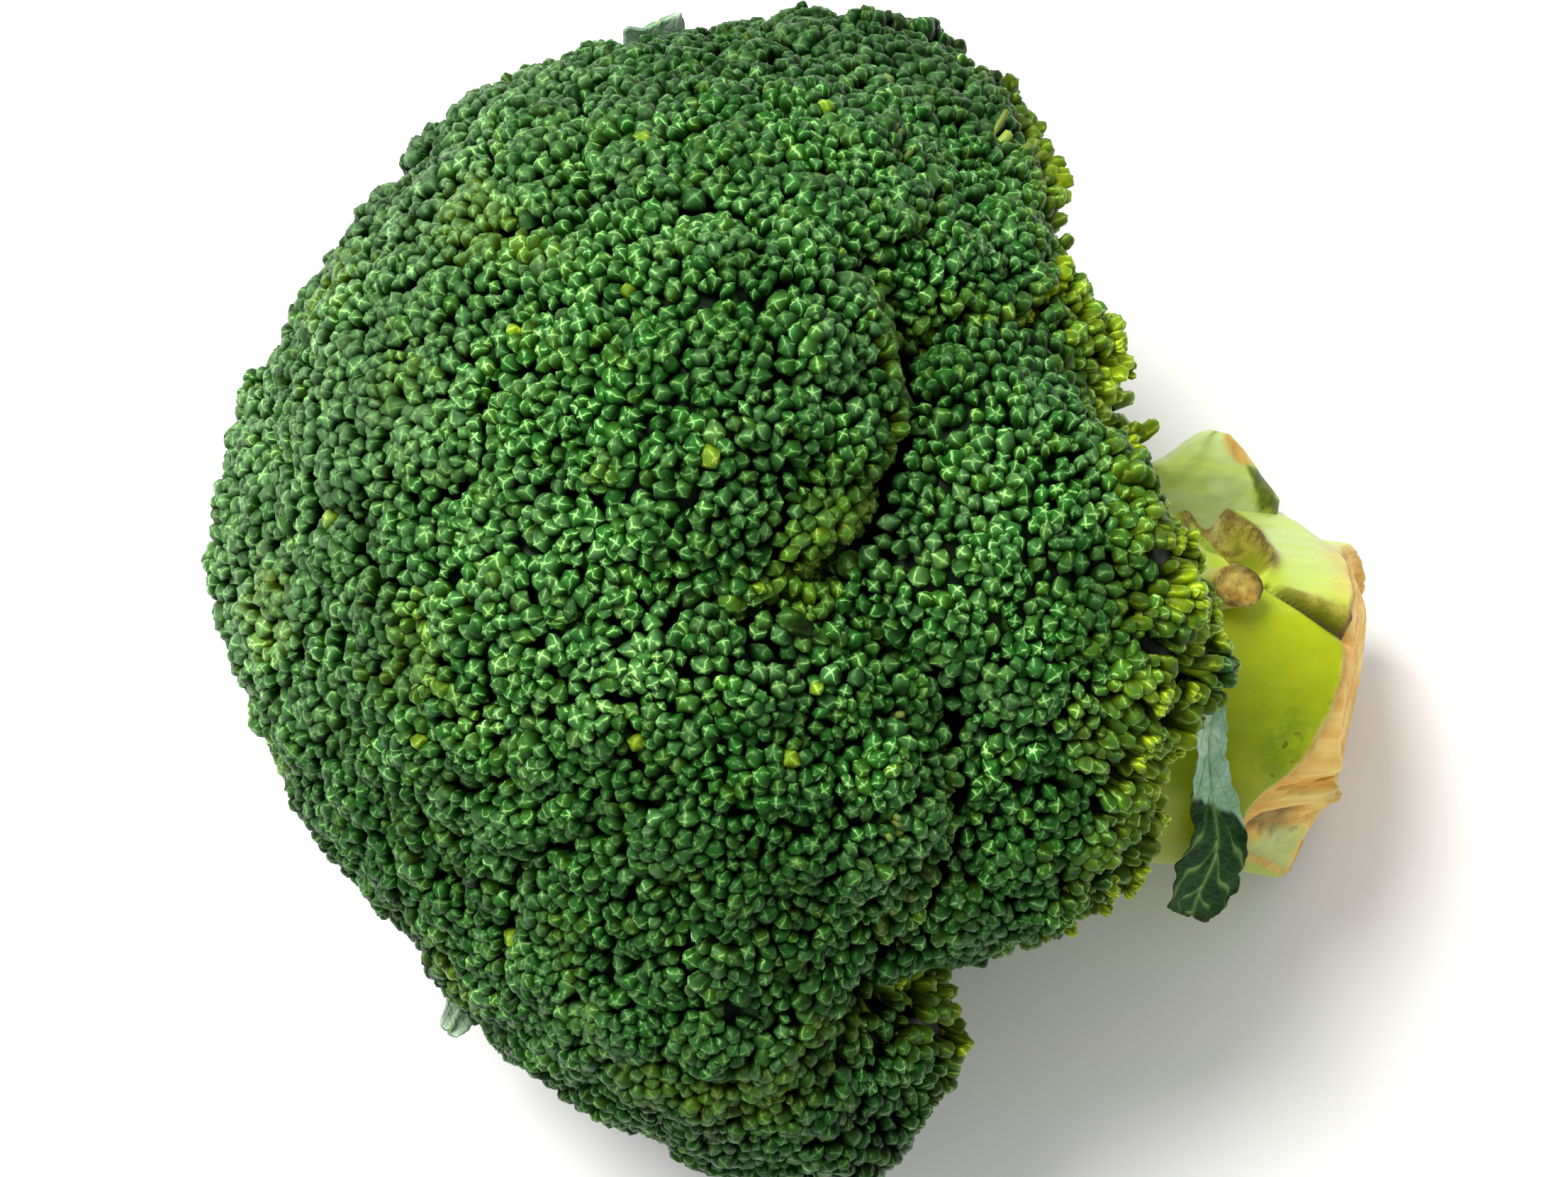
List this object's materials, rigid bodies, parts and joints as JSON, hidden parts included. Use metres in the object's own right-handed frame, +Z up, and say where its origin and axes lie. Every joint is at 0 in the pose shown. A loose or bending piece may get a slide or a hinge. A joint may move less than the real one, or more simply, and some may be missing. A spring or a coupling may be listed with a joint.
{
  "type": "broccoli head",
  "caption": "Fresh broccoli head, cut and lying on its side: main stalk with a slanted cut, branches, packed bud heads and small leaves.",
  "frame": {"origin": "middle of the bottom of the bounding box, on the surface that the head lies on", "axes": "+Z up; the stalk points towards +X and slopes down to the surface, the dome of the head faces -X and up"},
  "size_m": [0.148, 0.143, 0.1222],
  "materials": {
    "bud_green": "closed flower buds, dark blue-green with a pale waxy bloom",
    "pale_stem": "smooth pale green branch skin",
    "stem_green": "smooth waxy yellow-green stalk skin, dry peach-coloured cut face",
    "leaf_green": "dark green leaf with pale veins"
  },
  "bodies": {
    "root": {"branch_bottom": "pale_stem", "branch_bottom_left": "pale_stem", "branch_bottom_mid": "pale_stem", "branch_centre": "pale_stem", "branch_centre_low": "pale_stem", "branch_far_mid": "pale_stem", "branch_far_top": "pale_stem", "branch_fringe": "pale_stem", "branch_left": "pale_stem", "branch_left_low": "pale_stem", "branch_left_upper": "pale_stem", "branch_low_mid": "pale_stem", "branch_low_right": "pale_stem", "branch_mid_left": "pale_stem", "branch_near_mid": "pale_stem", "branch_right": "pale_stem", "branch_rim_far": "pale_stem", "branch_rim_near": "pale_stem", "branch_top_left": "pale_stem", "branch_top_mid": "pale_stem", "branch_top_right": "pale_stem", "branch_under_mid": "pale_stem", "branch_upper_left": "pale_stem", "branch_upper_mid": "pale_stem", "branch_upper_right": "pale_stem", "floret_bottom": "bud_green", "floret_bottom_left": "bud_green", "floret_bottom_mid": "bud_green", "floret_centre": "bud_green", "floret_centre_low": "bud_green", "floret_far_mid": "bud_green", "floret_far_top": "bud_green", "floret_fringe": "bud_green", "floret_left": "bud_green", "floret_left_low": "bud_green", "floret_left_upper": "bud_green", "floret_low_mid": "bud_green", "floret_low_right": "bud_green", "floret_mid_left": "bud_green", "floret_near_mid": "bud_green", "floret_right": "bud_green", "floret_rim_far": "bud_green", "floret_rim_near": "bud_green", "floret_top_left": "bud_green", "floret_top_mid": "bud_green", "floret_top_right": "bud_green", "floret_under_mid": "bud_green", "floret_upper_left": "bud_green", "floret_upper_mid": "bud_green", "floret_upper_right": "bud_green", "leaf_by_stalk": "leaf_green", "leaf_far_side": "leaf_green", "leaf_lower_edge": "leaf_green", "main_stalk": "stem_green", "petiole_stub": "stem_green", "shoot_stub": "stem_green"}
  },
  "joints": []
}
